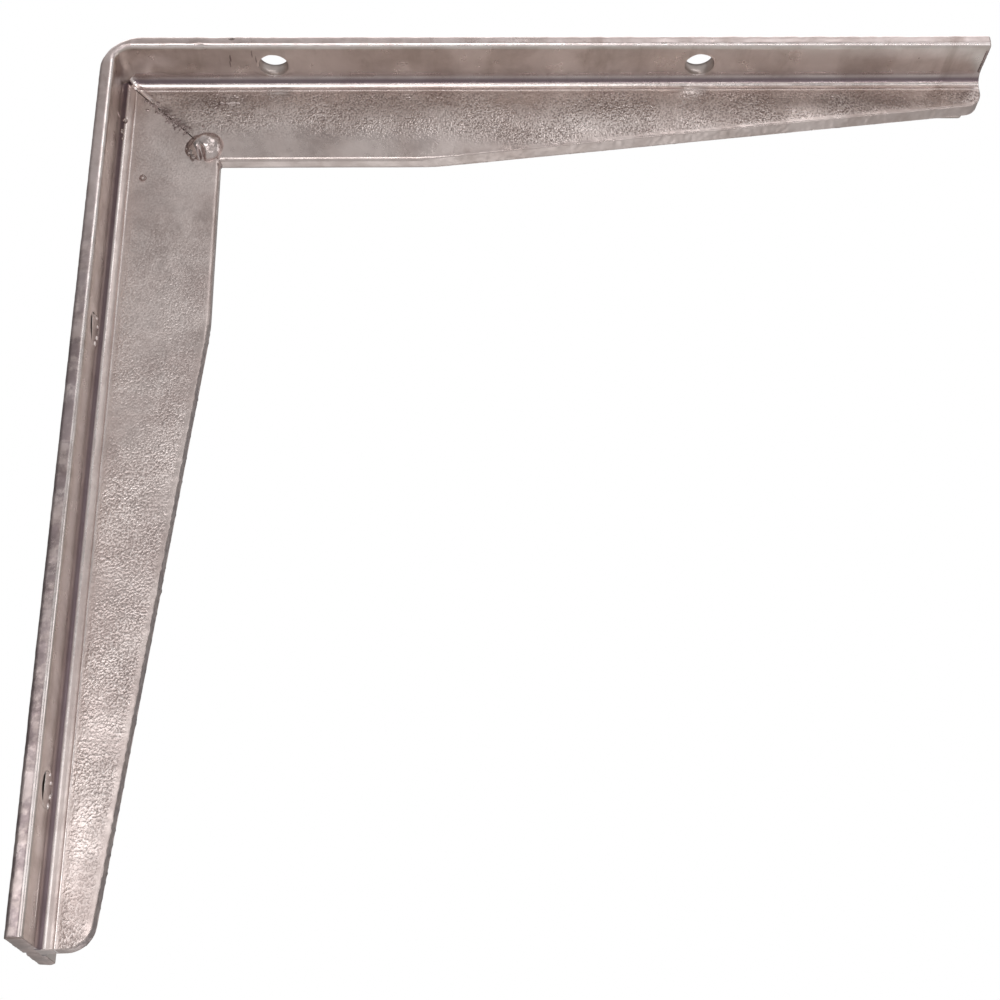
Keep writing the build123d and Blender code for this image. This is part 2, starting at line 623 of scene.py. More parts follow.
FLANGE_ZINC = ZincFinish(
    "flange_zinc",
    pale=(0.76, 0.675, 0.63),
    dull=(0.58, 0.50, 0.455),
    stain=(0.35, 0.28, 0.23),
    stain_share=0.5,
    roughness=(0.26, 0.42),
    grain_size=1.6 * MM,
    grain_depth=0.03 * MM,
    streaks=0.22,
    root_shade_bands=((6.4 * MM, 0.20), (9.0 * MM, 0.12), (14.0 * MM, 0.0)),
    smears=(
        Smear((0.0185, -0.0125, 0.1555), (0.009, 0.005, 0.004), 0.45, PALE_AND_HIGHLIGHT),
        Smear((0.012, -0.009, 0.1555), (0.004, 0.008, 0.004), 0.35, PALE_AND_HIGHLIGHT),
        Smear((0.005, -0.010, 0.1475), (0.004, 0.005, 0.006), 0.40, PALE_AND_HIGHLIGHT),
        Smear((0.285, -0.0165, 0.1555), (0.04, 0.006, 0.004), 0.30, PALE_AND_HIGHLIGHT),
        Smear((0.005, -0.0130, -0.0200), (0.004, 0.006, 0.15), 0.55, PALE_AND_HIGHLIGHT),
    ),
)
OUTER_ZINC = ZincFinish(
    "outer_zinc",
    pale=(0.74, 0.65, 0.62),
    dull=(0.57, 0.48, 0.45),
    stain=(0.36, 0.28, 0.24),
    stain_share=0.35,
    roughness=(0.28, 0.46),
    grain_size=1.1 * MM,
    grain_depth=0.04 * MM,
)
EDGE_ZINC = ZincFinish(
    "edge_zinc",
    pale=(0.76, 0.655, 0.64),
    dull=(0.58, 0.48, 0.455),
    stain=(0.36, 0.26, 0.23),
    stain_share=0.6,
    roughness=(0.26, 0.44),
    grain_size=1.2 * MM,
    grain_depth=0.04 * MM,
    cloud_size=12 * MM,
    low_tint=0.55,
)
SHEARED_ZINC = ZincFinish(
    "sheared_zinc",
    pale=(0.70, 0.60, 0.57),
    dull=(0.50, 0.41, 0.38),
    stain=(0.30, 0.225, 0.19),
    stain_share=0.6,
    roughness=(0.26, 0.44),
    grain_size=0.9 * MM,
    grain_depth=0.08 * MM,
    cloud_size=8 * MM,
    low_tint=0.45,
)
CUT_ZINC = ZincFinish(
    "cut_zinc",
    pale=(0.52, 0.42, 0.395),
    dull=(0.36, 0.285, 0.265),
    stain=(0.20, 0.15, 0.13),
    stain_share=0.6,
    roughness=(0.30, 0.48),
    grain_size=0.9 * MM,
    grain_depth=0.10 * MM,
    cloud_size=5 * MM,
)
WELD_ZINC = ZincFinish(
    "weld_zinc",
    pale=(0.80, 0.70, 0.68),
    dull=(0.50, 0.42, 0.40),
    stain=(0.26, 0.20, 0.17),
    stain_share=0.4,
    roughness=(0.16, 0.28),
    grain_size=1.0 * MM,
    grain_depth=0.02 * MM,
    cloud_size=6 * MM,
)
PIMPLE_ZINC = ZincFinish(
    "pimple_zinc",
    pale=(0.52, 0.43, 0.41),
    dull=(0.32, 0.26, 0.245),
    stain=(0.18, 0.135, 0.12),
    stain_share=0.4,
    roughness=(0.12, 0.22),
    grain_size=1.0 * MM,
    grain_depth=0.02 * MM,
    cloud_size=4 * MM,
)
# Dark zinc of the seam and burrs; on the weld it is painted shade on the recessed crescent.
SEAM_ZINC_AND_WELD_SHADE = ZincFinish(
    "seam_zinc_and_weld_shade",
    pale=(0.46, 0.37, 0.355),
    dull=(0.25, 0.195, 0.19),
    stain=(0.15, 0.11, 0.10),
    stain_share=0.5,
    roughness=(0.26, 0.44),
    grain_size=0.8 * MM,
    grain_depth=0.05 * MM,
    cloud_size=5 * MM,
)
# Pale zinc for the runs, and the painted highlight lines on the toes, the root fillets, the ridge
# and beside the mitre.
PALE_RUN_AND_HIGHLIGHT_ZINC = ZincFinish(
    "pale_run_and_highlight_zinc",
    pale=(0.92, 0.84, 0.82),
    dull=(0.78, 0.68, 0.66),
    stain=(0.55, 0.46, 0.42),
    stain_share=0.2,
    roughness=(0.16, 0.30),
    grain_size=1.0 * MM,
    grain_depth=0.02 * MM,
    cloud_size=6 * MM,
)


# ---- the bar ---------------------------------------------------------------------------------


@dataclass(frozen=True)
class Section:
    """Section of the T-bar and the zinc's softening of its edges."""

    half_width: float = 20 * MM
    flange: float = 5 * MM
    height: float = 40 * MM
    half_web: float = 2.5 * MM
    root_radius: float = 4 * MM
    flange_toe: float = 1.8 * MM
    web_toe: float = 1 * MM
    softening: float = 0.4 * MM

    @property
    def root_half(self) -> float:
        """Half width over both root fillets."""
        return self.half_web + self.root_radius

    @property
    def root_depth(self) -> float:
        """Depth where the fillets end on the web."""
        return self.flange + self.root_radius

    def surface(self, depth: float) -> float:
        """Gives how far the web's surface is from its middle plane at a depth."""
        rise = min(max((self.root_depth - depth) / self.root_radius, 0.0), 1.0)
        return self.root_half - self.root_radius * math.sqrt(1 - rise * rise)


@dataclass(frozen=True)
class Hole:
    """One punched hole: its middle on the outer face, and its axis."""

    centre: Vector
    axis: Vector
    radius: float

    def moved(self, matrix: Matrix) -> "Hole":
        """Gives the hole in other coordinates."""
        return Hole(matrix @ self.centre, matrix.to_3x3() @ self.axis, self.radius)


def punched_holes(record: dict) -> list[Hole]:
    """Reads the holes from the record's bolt patterns.

    Args:
        record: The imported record.

    Returns:
        Every hole of every bolt pattern.
    """
    holes = []
    for mount in record["mounts"]:
        if mount["kind"] != "bolt_pattern":
            continue
        axis = Vector(mount["axis"])
        along = Vector((1, 0, 0)) if abs(axis.z) > 0.5 else Vector((0, 0, 1))
        dims = mount["dims"]
        pitch = (dims.get("spacing_x_mm") or dims.get("spacing_y_mm")) * MM
        count = int(dims["count"])
        for i in range(count):
            shift = along * pitch * (i - (count - 1) / 2)
            centre = Vector(mount["pos_m"]) + shift
            holes.append(Hole(centre, axis, dims["hole_r_mm"] * MM))
    return holes


def drill(bm: BMesh, holes: Iterable[Hole], depth: float) -> BMesh:
    """Cuts round holes with a Boolean modifier.

    Args:
        bm: The solid in the row frame. It is freed.
        holes: The holes.
        depth: How far each hole goes below its outer face.

    Returns:
        The drilled solid.
    """
    cutters = bmesh.new()
    for hole in holes:
        turn = hole.axis.to_track_quat("Z", "Y").to_matrix().to_4x4()
        place = Matrix.Translation(hole.centre - hole.axis * (depth / 2 - 1 * MM)) @ turn
        bmesh.ops.create_cone(
            cutters,
            cap_ends=True,
            segments=48,
            radius1=hole.radius,
            radius2=hole.radius,
            depth=depth + 2 * MM,
            matrix=place,
        )
    body = to_object(bm, "drilled", [])
    tool = to_object(cutters, "drill", [])
    punch = body.modifiers.new("punch", "BOOLEAN")
    punch.operation = "DIFFERENCE"
    punch.solver = "EXACT"
    punch.object = tool
    shaped = body.evaluated_get(bpy.context.evaluated_depsgraph_get())
    mesh = bpy.data.meshes.new_from_object(shaped)
    result = bmesh.new()
    result.from_mesh(mesh)
    bpy.data.meshes.remove(mesh)
    for spare in (body, tool):
        data = spare.data
        bpy.data.objects.remove(spare)
        bpy.data.meshes.remove(data)
    return result


@dataclass
class Flange:
    """The flange of the bar: both arms, the bend between them, and the punched holes."""

    section: Section
    low: Vector
    high: Vector
    holes: list[Hole]
    outer_bend: float = 14 * MM
    inner_bend: float = 5 * MM
    outer_rim: float = 1.4 * MM
    pitch_along: float = 0.95 * MM
    pitch_across: float = 1.15 * MM
    rim_lip: float = 0.28 * MM
    rim_round: float = 0.45 * MM
    nicks: tuple[Vector, ...] = ()

    def outline(self) -> BMesh:
        """Makes the solid of the flange: its side view, bent, drawn across the bar."""
        top, thick = self.high.z, self.section.flange
        bm = bmesh.new()
        corners = [
            (0.0, top),
            (self.high.x, top),
            (self.high.x, top - thick),
            (thick, top - thick),
            (thick, self.low.z),
            (0.0, self.low.z),
        ]
        verts = [bm.verts.new((x, self.low.y, z)) for x, z in corners]
        bm.faces.new(verts)
        round_corners(bm, [verts[0]], self.outer_bend, 20)
        round_corners(bm, [verts[3]], self.inner_bend, 10)
        extrude_all(bm, Vector((0, self.high.y - self.low.y, 0)))
        return bm

    def inset(self, spot: Vector) -> float:
        """Gives how far a place is below the outer face, round the bend too."""
        along, down = spot.x, self.high.z - spot.z
        if max(along, down) < self.outer_bend:
            return self.outer_bend - math.hypot(self.outer_bend - along, self.outer_bend - down)
        return min(along, down)

    def on_inner_side(self, spot: Vector) -> bool:
        """Tells if a place is on the flange's inner faces, round the bend too."""
        inset = min(spot.x, self.high.z - spot.z)
        return inset > self.section.flange - 1e-6

    def soften(self, bm: BMesh) -> None:
        """Rounds the toes, then the cut and rolled outer edges."""
        toes, others = [], []
        for edge in sharp_edges(bm):
            first, second = (vert.co for vert in edge.verts)
            along = abs(first.y - second.y) < 1e-7
            inner = self.on_inner_side(first) and self.on_inner_side(second)
            at_end = any(
                abs(co.x - self.high.x) < 1e-6 or abs(co.z - self.low.z) < 1e-6
                for co in (first, second)
            )
            if along and inner and not (at_end and self.at_one_end(first, second)):
                toes.append(edge)
            else:
                others.append(edge)
        round_edges(bm, toes, self.section.flange_toe, 5)
        outer = [edge for edge in sharp_edges(bm) if self.is_outer_rim(edge)]
        round_edges(bm, outer, self.outer_rim, 4)
        round_edges(bm, sharp_edges(bm), self.section.softening, 2)

    def is_outer_rim(self, edge: BMEdge) -> bool:
        """Tells if an edge is one of the outer face's long edges, round the bend too."""
        first, second = (vert.co for vert in edge.verts)
        at_side = abs(abs(first.y) - self.section.half_width) < 1e-6
        along = abs(first.y - second.y) < 1e-7
        return at_side and along and not self.at_one_end(first, second)

    def at_one_end(self, first: Vector, second: Vector) -> bool:
        """Tells if both places are on the same cut end of an arm."""
        return all(abs(co.x - self.high.x) < 1e-6 for co in (first, second)) or all(
            abs(co.z - self.low.z) < 1e-6 for co in (first, second)
        )

    def soften_rims(self, bm: BMesh) -> None:
        """Rounds the rims of the holes."""
        rims = []
        for edge in sharp_edges(bm, math.radians(50)):
            middle = (edge.verts[0].co + edge.verts[1].co) / 2
            if any(self.at_rim(middle, hole) for hole in self.holes):
                rims.append(edge)
        round_edges(bm, rims, self.rim_round, 2)

    @staticmethod
    def at_rim(spot: Vector, hole: Hole) -> bool:
        """Tells if a place is on the wall of a hole."""
        off = spot - hole.centre
        off -= hole.axis * off.dot(hole.axis)
        return abs(off.length - hole.radius) < 0.1 * MM

    def divide(self, bm: BMesh) -> None:
        """Dices the solid along both arms and across them."""
        bend = self.outer_bend
        along = Vector((1, 0, 0))
        dice(bm, list(bm.faces), along, steps(bend, self.high.x, self.pitch_along))
        up = Vector((0, 0, 1))
        dice(bm, list(bm.faces), up, steps(self.low.z, self.high.z - bend, self.pitch_along))
        across = Vector((0, 1, 0))
        dice(bm, list(bm.faces), across, steps(self.low.y, self.high.y, self.pitch_across))

    def relief(self, spot: Vector, normal: Vector) -> float:
        """Gives the height of the zinc at a place on the flange.

        Args:
            spot: The place.
            normal: The surface normal there.

        Returns:
            Height along the normal, in metres.
        """
        inset = self.inset(spot)
        inner = ease(inset, 2 * MM, self.section.flange)
        wave = 0.05 * MM * ripple(spot, 26 * MM, 3.0) + 0.035 * MM * ripple(spot, 9 * MM, 8.0)
        grain = 0.014 * MM * ripple(spot, 3.2 * MM, 5.0)
        height = wave + grain
        side = ease(abs(spot.y), self.section.half_width - 2.2 * MM, self.section.half_width)
        side *= 1 - 0.75 * ease(inset, 3.0 * MM, 3.8 * MM)
        height += side * 0.10 * MM * ripple(spot, 4.5 * MM, 11.0)
        height += side * 0.05 * MM * ripple(spot, 2.2 * MM, 17.0)
        ends = max(
            ease(spot.x, self.high.x - 0.8 * MM, self.high.x),
            1 - ease(spot.z, self.low.z, self.low.z + 0.8 * MM),
        )
        height += ends * 0.22 * MM * (ripple(spot, 2.6 * MM, 23.0) - 0.3)
        for hole in self.holes:
            off = spot - hole.centre
            off -= hole.axis * off.dot(hole.axis)
            reach = off.length - hole.radius
            if reach < 3.5 * MM:
                lumpy = 0.65 + 0.6 * ripple(spot, 4.2 * MM, 31.0)
                height += inner * self.rim_lip * lumpy * bell(reach, 0.7 * MM, 0.9 * MM)
        bend = (spot.x**2 + (self.high.z - spot.z) ** 2) ** 0.5
        if bend < 60 * MM:
            wrung = 1 - ease(bend, 14 * MM, 45 * MM)
            height += inner * wrung * 0.16 * MM * ripple(spot, 13 * MM, 37.0)
        for nick in self.nicks:
            reach = (spot - nick).length
            if reach < 3 * MM:
                height -= 0.9 * MM * bell(reach, 0, 1.0 * MM)
        if inset < 1.5 * MM:
            height -= 0.09 * MM
        return height

    def build(self) -> bpy.types.Object:
        """Builds the finished flange."""
        bm = self.outline()
        self.soften(bm)
        bm = drill(bm, self.holes, self.section.flange)
        self.soften_rims(bm)
        self.divide(bm)
        self.paint(bm)
        push(bm, self.relief)
        keep_inside(bm, self.low, self.high)
        LOG.info("flange skin: %d faces", len(bm.faces))
        finishes = (FLANGE_ZINC, EDGE_ZINC, OUTER_ZINC, PALE_RUN_AND_HIGHLIGHT_ZINC, CUT_ZINC)
        return to_object(bm, "flange_skin", [finish.make() for finish in finishes])

    def paint(self, bm: BMesh) -> None:
        """Gives the long edges, the outer faces and the cut ends their own finish, and paints a
        highlight along the rounded toes.
        """
        bm.normal_update()
        for face in bm.faces:
            middle = face.calc_center_median()
            side = abs(face.normal.y) > 0.5 and abs(middle.y) > self.section.half_width - 1 * MM
            end = middle.x > self.high.x - 0.6 * MM or middle.z < self.low.z + 0.6 * MM
            outer = self.inset(middle) < 1.2 * MM
            paint = Paint.EDGE if side else Paint.OUTER if outer else Paint.FLAT
            if end:
                paint = Paint.CUT
            # Painted highlight: a pale line along each rounded toe.
            if not end and self.on_toe_highlight(middle):
                paint = Paint.PAINTED_HIGHLIGHT
            face.material_index = paint.value

    def on_toe_highlight(self, spot: Vector) -> bool:
        """Tells if a place is on the strip of a rounded toe that takes the painted highlight."""
        inset = self.inset(spot)
        from_side = self.section.half_width - abs(spot.y)
        near = self.section.flange - 1.15 * MM
        return inset > near and 0.1 * MM < from_side < 0.7 * MM


@dataclass
class Web:
    """The web of one arm: root fillets, mitred start, rolled edge, sheared taper, round tip."""

    arm: Arm
    section: Section
    length: float
    taper_start: float
    end_height: float
    tip_radius: float
    mitre_shift: float
    mitre_round: float
    pebble: tuple[float, float]
    shear_rag: float
    front_roll: float
    # Band across the root fillet that takes a painted highlight.
    root_highlight_band: tuple[float, float]
    pitch: float = 0.5 * MM
    sunk: float = 0.5 * MM

    @property
    def level(self) -> bool:
        """Tells if this is the shelf arm's web."""
        return self.arm is Arm.SHELF

    def edge_depth(self, along: float) -> float:
        """Gives the depth of the web's free edge at a distance along the arm."""
        part = (along - self.taper_start) / (self.length - self.taper_start)
        return self.section.height - max(part, 0.0) * (self.section.height - self.end_height)

    def solid(self) -> BMesh:
        """Draws the section along the arm and shears it to its side view."""
        sec = self.section
        wing = sec.root_half + 0.02 * MM
        sunk = sec.flange - self.sunk
        corners = [
            (wing, sunk),
            (-wing, sunk),
            (-wing, sec.flange),
            (-sec.half_web, sec.flange),
            (-sec.half_web, sec.height),
            (sec.half_web, sec.height),
            (sec.half_web, sec.flange),
            (wing, sec.flange),
        ]
        bm = bmesh.new()
        verts = [bm.verts.new((0, y, -depth)) for y, depth in corners]
        bm.faces.new(verts)
        round_corners(bm, [verts[3], verts[6]], sec.root_radius, 10)
        round_corners(bm, [verts[4], verts[5]], sec.web_toe, 3)
        extrude_all(bm, Vector((self.length, 0, 0)))
        cut_away(bm, Vector((self.mitre_shift, 0, 0)), Vector((-1, 0, -1)).normalized())
        drop = sec.height - self.end_height
        shear = Vector((-drop, 0, -(self.length - self.taper_start))).normalized()
        shear.x = -shear.x
        cut_away(bm, Vector((self.taper_start, 0, -sec.height)), shear)
        bmesh.ops.recalc_face_normals(bm, faces=bm.faces)
        return bm

    def soften(self, bm: BMesh) -> None:
        """Rounds the tip and the mitred edges."""
        tip_depth = self.end_height
        tip = [
            edge
            for edge in sharp_edges(bm)
            if all(
                abs(vert.co.x - self.length) < 1e-6 and abs(vert.co.z + tip_depth) < 1e-6
                for vert in edge.verts
            )
        ]
        fall = math.atan2(self.section.height - self.end_height, self.length - self.taper_start)
        offset = self.tip_radius * math.tan((math.pi / 2 - fall) / 2)
        round_edges(bm, tip, offset, 10)
        mitre = []
        for edge in sharp_edges(bm, math.radians(25)):
            ends = [vert.co for vert in edge.verts]
            if all(abs(co.x + co.z - self.mitre_shift) < 1e-6 for co in ends):
                mitre.append(edge)
        round_edges(bm, mitre, self.mitre_round, 4)

    def roll_over(self, bm: BMesh) -> None:
        """Rounds the sheared edges: much on the front, where the shear went in, little behind."""
        sheared, others = [], []
        for edge in sharp_edges(bm, math.radians(40)):
            ends = [vert.co for vert in edge.verts]
            if min(-co.z for co in ends) < self.section.flange - 0.3 * MM:
                continue
            front = all(co.y < 0 for co in ends)
            past = all(co.x > self.taper_start - 1e-6 for co in ends)
            (sheared if front and past else others).append(edge)
        round_edges(bm, sheared, self.front_roll, 4)
        others = [edge for edge in others if edge.is_valid]
        round_edges(bm, others, self.section.softening, 2)

    def divide(self, bm: BMesh) -> None:
        """Dices the solid along the arm, down the web and across its thickness."""
        sec = self.section
        along = steps(0, self.length, self.pitch)
        dice(bm, list(bm.faces), Vector((1, 0, 0)), along)
        depths = [sec.root_depth + step * MM for step in (0.02, 0.18, 0.34, 0.5, 0.66, 0.85)]
        depths += steps(sec.root_depth + 0.9 * MM, sec.height, self.pitch)
        rows = [-depth for depth in reversed(depths)]
        web = [face for face in bm.faces if -face.calc_center_median().z > sec.flange]
        dice(bm, web, Vector((0, 0, 1)), rows)
        thickness = steps(-sec.half_web, sec.half_web, 0.8 * MM)
        dice(bm, list(bm.faces), Vector((0, 1, 0)), thickness)

    def mark_pebbles(self, bm: BMesh) -> None:
        """Writes at each vertex how strongly it is pebbled, for the finish to read."""
        layer = bm.verts.layers.float.new(PEBBLED)
        bm.normal_update()
        for vert in bm.verts:
            flat = ease(abs(vert.normal.y), 0.9, 0.99)
            vert[layer] = flat * self.roughening(vert.co.x, -vert.co.z, vert.co)

    def pebbles(self, spot: Vector) -> float:
        """Gives the pebbled relief of the rolled web, from -1 to 1."""
        turned = Vector((spot.x * 0.75 + spot.z * 0.66, spot.y * 3, spot.z * 0.75 - spot.x * 0.66))
        long_way = Vector((turned.x * 0.75, turned.y, turned.z * 1.1))
        fine = ripple(spot, 1.7 * MM, 2.0)
        ridged = ripple(long_way, 1.9 * MM, 6.0)
        return 0.6 * fine + 0.6 * ridged

    def roughening(self, along: float, depth: float, spot: Vector) -> float:
        """Gives how strongly the web is pebbled at a place, about 0 to 1."""
        inset = self.edge_depth(along) - depth
        near, far = self.pebble
        reach = near + (far - near) * ease(along, 40 * MM, 0.6 * self.length)
        patches = 0.72 + 0.55 * ripple(spot, 34 * MM, 41.0) + 0.2 * ripple(spot, 11 * MM, 43.0)
        top = ease(depth, self.section.root_depth + 0.2 * MM, self.section.root_depth + 2.5 * MM)
        straight = 1 - ease(along, self.taper_start - 8 * MM, self.taper_start + 45 * MM)
        strip = (2.6 + 15.0 * straight * self.level) * MM
        grown = max(reach * patches * top * ease(inset, 0.3 * strip, strip), 0.0)
        if self.level and depth < 20 * MM:
            grown *= max(ease(along - depth, 3 * MM, 5.5 * MM), ease(depth, 13 * MM, 16 * MM))
        return grown

    def relief(self, spot: Vector, normal: Vector) -> float:
        """Gives the height of the zinc at a place on the web.

        Args:
            spot: The place, in arm coordinates.
            normal: The surface normal there.

        Returns:
            Height along the normal, in metres.
        """
        sec = self.section
        along, depth = spot.x, -spot.z
        if depth < sec.flange - 0.1 * MM:
            return 0.0
        inset = self.edge_depth(along) - depth
        flat = ease(abs(normal.y), 0.55, 0.95)
        height = 0.045 * MM * ripple(spot, 30 * MM, 51.0) * ease(depth, sec.flange, sec.root_depth)
        height += 0.012 * MM * ripple(spot, 3.0 * MM, 53.0)
        height += flat * 0.075 * MM * self.roughening(along, depth, spot) * self.pebbles(spot)
        height += flat * 0.13 * MM * bell(depth, sec.root_depth + RIDGE_BELOW_ROOT, 0.32 * MM)
        if self.level and spot.y < 0 and depth < 20 * MM:
            start = 1 - ease(depth, 12 * MM, 16 * MM)
            height += 0.40 * MM * start * bell(along - depth, 1.5 * MM, 1.2 * MM)
        sheared = ease(along, self.taper_start - 1 * MM, self.taper_start + 1 * MM)
        if sheared and inset < 4 * MM:
            lip = 0.12 * MM * (0.8 + 0.8 * ripple(spot, 5 * MM, 61.0))
            height += sheared * flat * lip * bell(inset, 0.9 * MM, 0.7 * MM)
            torn = 0.7 * ripple(spot, 3.4 * MM, 67.0) + 0.45 * ripple(spot, 1.5 * MM, 71.0)
            height += sheared * (1 - flat) * self.shear_rag * (torn - 0.15)
        return height

    def build(self, low: Vector, high: Vector, holes: Iterable[Hole]) -> bpy.types.Object:
        """Builds the finished web in its place.

        Args:
            low: Lowest corner of the CAD bar.
            high: Highest corner of the CAD bar.
            holes: The punched holes; those of this arm nick the root fillets.

        Returns:
            The web's object.
        """
        bm = self.solid()
        self.soften(bm)
        self.roll_over(bm)
        back = self.arm.place(high.z).inverted()
        mine = [hole.moved(back) for hole in holes if (abs(hole.axis.z) > 0.5) == self.level]
        bm = drill(bm, mine, self.section.root_depth)
        self.divide(bm)
        self.mark_pebbles(bm)
        self.paint(bm)
        push(bm, self.relief)
        bmesh.ops.transform(bm, matrix=self.arm.place(high.z), verts=bm.verts)
        if self.arm is Arm.WALL:
            bmesh.ops.reverse_faces(bm, faces=bm.faces)
        keep_inside(bm, low, high)
        name = f"{self.arm.value}_web_skin"
        LOG.info("%s: %d faces", name, len(bm.faces))
        web = SHELF_WEB_ZINC if self.level else WALL_WEB_ZINC
        edge = OUTER_ZINC if self.level else SHEARED_ZINC
        finishes = (web, edge, OUTER_ZINC, PALE_RUN_AND_HIGHLIGHT_ZINC)
        return to_object(bm, name, [finish.make() for finish in finishes])

    def paint(self, bm: BMesh) -> None:
        """Gives the sheared and cut edges their own finish, and paints highlight lines on the
        ridge below the root, on the root fillets and beside the mitre.
        """
        bm.normal_update()
        ridge = self.section.root_depth + RIDGE_BELOW_ROOT
        for face in bm.faces:
            middle = face.calc_center_median()
            depth = -middle.z
            edge = abs(face.normal.y) < 0.5 and depth > self.section.root_depth
            paint = Paint.EDGE if edge else Paint.FLAT
            on_ridge = abs(depth - ridge) < 0.2 * MM
            near, far = self.root_highlight_band
            at_root = near < abs(middle.y) < far and depth < self.section.root_depth
            beside = 0.9 * MM < middle.x - depth < 2.5 * MM
            on_mitre = self.level and middle.y < 0 and depth < 13.5 * MM and beside
            # Painted highlights: the ridge below the root, a band on the root fillet and the
            # raised tongue beside the mitre.
            if on_ridge or at_root or on_mitre:
                paint = Paint.PAINTED_HIGHLIGHT
            face.material_index = paint.value


# ---- the weld --------------------------------------------------------------------------------


@dataclass
class TackWeld:
    """The nugget at the inner end of the notch: a slumped dome on each face of the web."""

    centre: Vector
    half_web: float
    radius: float = 7.1 * MM
    front_height: float = 4.1 * MM
    rear_height: float = 2.0 * MM
    gash_half: tuple[float, float] = (0.6 * MM, 2.1 * MM)

    def shape(self, spot: Vector) -> Vector:
        """Moves a place of a unit ball onto the nugget, around its own centre."""
        front = spot.y < 0
        tall = self.half_web + (self.front_height if front else self.rear_height)
        wobble = 1 + 0.06 * ripple(Vector((spot.x, 0, spot.z)) * 0.006, 9 * MM, 7.0)
        place = Vector((spot.x, math.copysign(abs(spot.y) ** 0.85, spot.y), spot.z))
        place.x *= self.radius * wobble
        place.z *= self.radius * wobble * 0.97
        place.y *= tall
        if front:
            lean = spot.y * spot.y
            place.x += 1.3 * MM * lean
            place.z -= 0.5 * MM * lean
            upper_left = ease(spot.z - spot.x, 0.2, 1.2)
            rim = Vector((spot.x, spot.z)).length
            place.y += 1.7 * MM * upper_left * bell(rim, 0.74, 0.24)
            across = (spot.x + 0.10) * 0.93 + (spot.z + 0.62) * 0.37
            along = (spot.x + 0.10) * -0.37 + (spot.z + 0.62) * 0.93
            gash = bell(across, 0, 0.10) * bell(along, 0.0, 0.34)
            place.y += 2.8 * MM * gash
            low_left = bell(across, -0.36, 0.26) * bell(along, 0.1, 0.42)
            place.y += 1.3 * MM * low_left
        return place

    def build(self) -> bpy.types.Object:
        """Builds the nugget."""
        bm = bmesh.new()
        bmesh.ops.create_icosphere(bm, subdivisions=6, radius=1.0)
        for vert in bm.verts:
            vert.co = self.centre + self.shape(vert.co)
        push(bm, self.relief)
        bm.normal_update()
        for face in bm.faces:
            off = face.calc_center_median() - self.centre
            spread = math.hypot(off.x, off.z)
            upper_left = off.z - off.x > 0.1 * self.radius and spread > 0.72 * self.radius
            right, up = off.x + 0.9 * MM, off.z + 4.0 * MM
            across, along = right * 0.93 + up * 0.37, right * -0.37 + up * 0.93
            in_gash = abs(across) < self.gash_half[0] and abs(along) < self.gash_half[1]
            # Painted shade: the recessed crescent at the upper left of the front dome takes the
            # dark seam finish, and so does the gash.
            face.material_index = int(off.y < 0 and (upper_left or in_gash))
        LOG.info("weld nugget: %d faces", len(bm.faces))
        return to_object(bm, "weld_nugget", [WELD_ZINC.make(), SEAM_ZINC_AND_WELD_SHADE.make()])

    def relief(self, spot: Vector, normal: Vector) -> float:
        """Gives the height of the zinc on the nugget."""
        lumps = 0.16 * MM * ripple(spot, 4.2 * MM, 81.0) + 0.05 * MM * ripple(spot, 1.6 * MM, 83.0)
        return lumps * ease(abs(normal.y), 0.0, 0.5)


# ---- zinc runs, pimples and burrs --------------------------------------------------------------


@dataclass(frozen=True)
class Blob:
    """One lump of zinc: its middle, half sizes, and its turn about Y."""

    centre: Vector
    half_sizes: Place
    turn: float = 0.0


@dataclass
class ZincMarks:
    """Lumps of frozen zinc of one kind, each half sunk in the bar."""

    name: str
    finish: ZincFinish
    blobs: list[Blob] = field(default_factory=list)

    def build(self, low: Vector, high: Vector) -> bpy.types.Object:
        """Builds all the lumps as one piece, inside the bar's box."""
        bm = bmesh.new()
        for index, blob in enumerate(self.blobs):
            made = bmesh.ops.create_icosphere(bm, subdivisions=3, radius=1.0)["verts"]
            turn = Matrix.Rotation(blob.turn, 3, "Y")
            for vert in made:
                wobble = 1 + 0.22 * ripple(vert.co * 0.001, 1.3 * MM, 5.0 + index * 3.1)
                lump = Vector(a * b for a, b in zip(vert.co * wobble, blob.half_sizes))
                vert.co = blob.centre + turn @ lump
        keep_inside(bm, low, high)
        LOG.info("%s: %d lumps", self.name, len(self.blobs))
        return to_object(bm, self.name, [self.finish.make()])


# ---- studio ------------------------------------------------------------------------------------


@dataclass(frozen=True)
class Softbox:
    """A soft area light aimed at the bracket, placed by its direction from it in degrees."""

    name: str
    azimuth: float
    elevation: float
    width: float
    height: float
    glow: float
    distance: float = 2.4

    def build(self, target: Vector) -> None:
        """Hangs the light, aimed at the target and hidden from the camera."""
        azimuth, elevation = math.radians(self.azimuth), math.radians(self.elevation)
        back = Vector(
            (
                math.sin(azimuth) * math.cos(elevation),
                -math.cos(azimuth) * math.cos(elevation),
                math.sin(elevation),
            )
        )
        data = bpy.data.lights.new(self.name, "AREA")
        data.shape = "RECTANGLE"
        data.size, data.size_y = self.width, self.height
        data.energy = self.glow * math.pi * self.width * self.height
        lamp = bpy.data.objects.new(self.name, data)
        lamp.location = target + back * self.distance
        lamp.rotation_euler = (-back).to_track_quat("-Z", "Y").to_euler()
        lamp.visible_camera = False
        bpy.context.scene.collection.objects.link(lamp)


